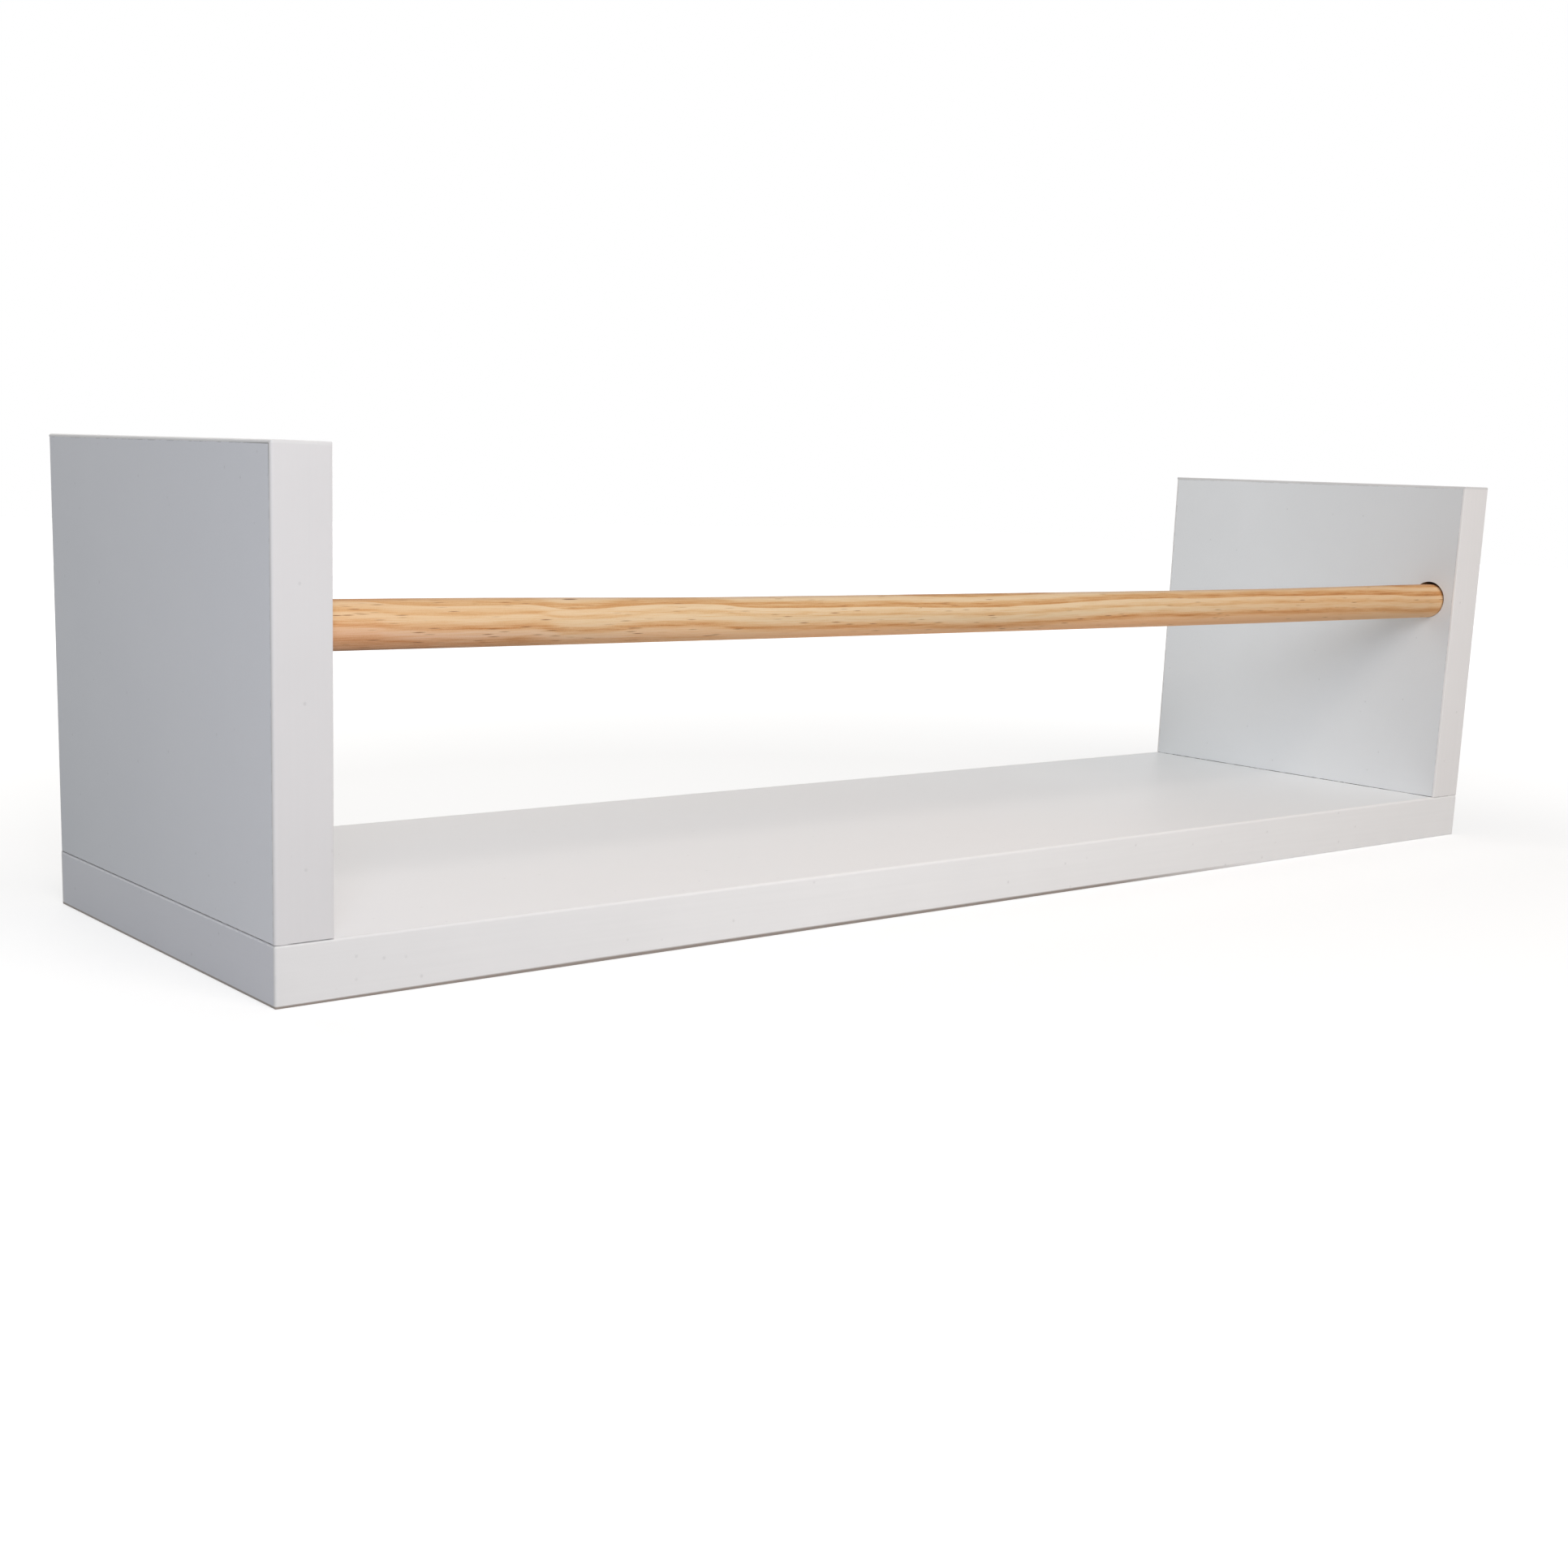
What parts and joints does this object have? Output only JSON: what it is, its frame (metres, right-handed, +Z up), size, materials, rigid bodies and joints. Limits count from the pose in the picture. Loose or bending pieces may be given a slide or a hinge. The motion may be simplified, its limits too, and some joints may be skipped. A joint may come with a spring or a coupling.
{
  "type": "wall ledge shelf with rail",
  "caption": "Low U-shaped wall ledge: a long board with an upright board standing on each end, and a loose round wooden rail across the front that keeps books or jars in.",
  "frame": {"origin": "on the underside, at the middle of the length and of the depth", "axes": "+X along the shelf, to the right as seen from the room; +Y from the room to the wall; +Z up"},
  "size_m": [0.48, 0.131, 0.128],
  "materials": {
    "white_board": "white melamine-faced MDF, satin",
    "white_edge_band": "white plastic edge band, satin, with rounded edges",
    "pine": "plain sanded pine, unvarnished",
    "beech": "plain beech",
    "zinc_screws": "bright zinc plate",
    "hanger_steel": "zinc-plated pressed steel"
  },
  "bodies": {
    "shelf": {"shelf_board": "white_board", "shelf_front_band": "white_edge_band", "shelf_back_band": "white_edge_band", "shelf_left_band": "white_edge_band", "shelf_right_band": "white_edge_band", "left_end_board": "white_board", "left_end_front_band": "white_edge_band", "left_end_back_band": "white_edge_band", "left_end_top_band": "white_edge_band", "right_end_board": "white_board", "right_end_front_band": "white_edge_band", "right_end_back_band": "white_edge_band", "right_end_top_band": "white_edge_band", "hanger_plates": "hanger_steel", "front_joint_screws": "zinc_screws", "back_joint_screws": "zinc_screws", "front_locating_dowels": "beech", "back_locating_dowels": "beech", "lower_hanger_screws": "zinc_screws", "upper_hanger_screws": "zinc_screws"},
    "rail": {"dowel_rail": "pine"}
  },
  "joints": [
    {"name": "rail_spin", "type": "hinge", "parent": "shelf", "child": "rail", "pos_m": [0, -0.0548, 0.08656], "axis": [1, 0, 0], "continuous": true}
  ]
}
